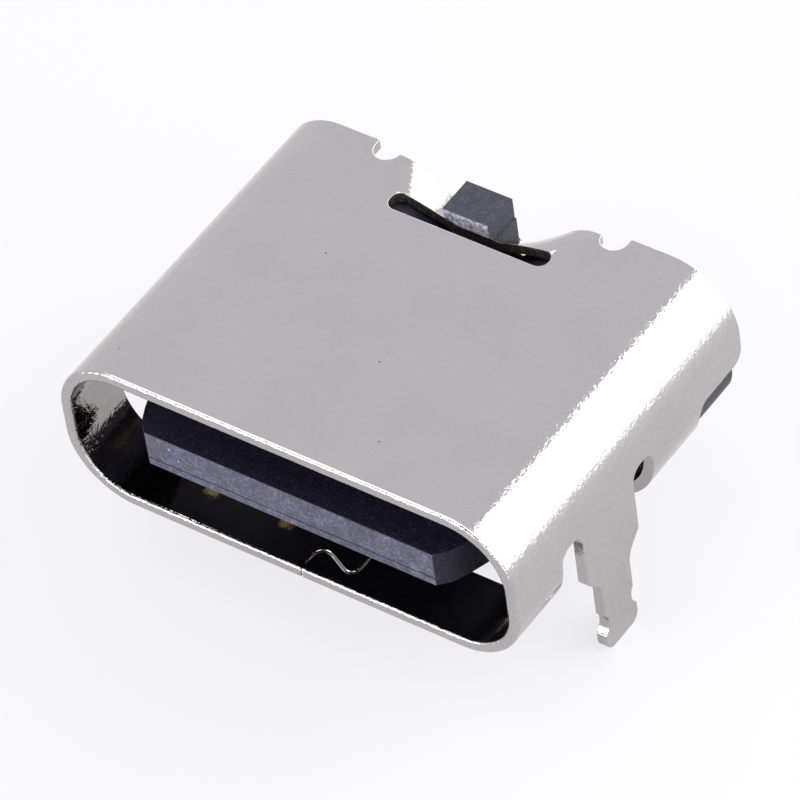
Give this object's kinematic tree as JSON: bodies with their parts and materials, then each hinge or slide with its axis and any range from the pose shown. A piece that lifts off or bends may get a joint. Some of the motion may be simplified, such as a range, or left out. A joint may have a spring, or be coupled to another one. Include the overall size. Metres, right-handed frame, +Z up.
{
  "type": "usb-c socket",
  "caption": "Flat board socket with a rolled steel shell, two snap-in legs, a tongue with power contacts and flat solder feet.",
  "frame": {"origin": "on the board's surface, under the shell's floor, midway between the two legs", "axes": "+X across the mouth, +Y from the mouth to the back, +Z up from the board"},
  "size_m": [0.0088, 0.0072, 0.0046],
  "materials": {
    "shell_steel": "bright nickel plating with a fine grain",
    "housing_plastic": "moulded, blue-black, slightly speckled",
    "contact_plating": "gold plated"
  },
  "bodies": {
    "root": {"shell": "shell_steel", "housing": "housing_plastic", "contact_a5": "contact_plating", "contact_a9": "contact_plating", "contact_a12": "contact_plating", "contact_b5": "contact_plating", "contact_b9": "contact_plating", "contact_b12": "contact_plating"}
  },
  "joints": []
}
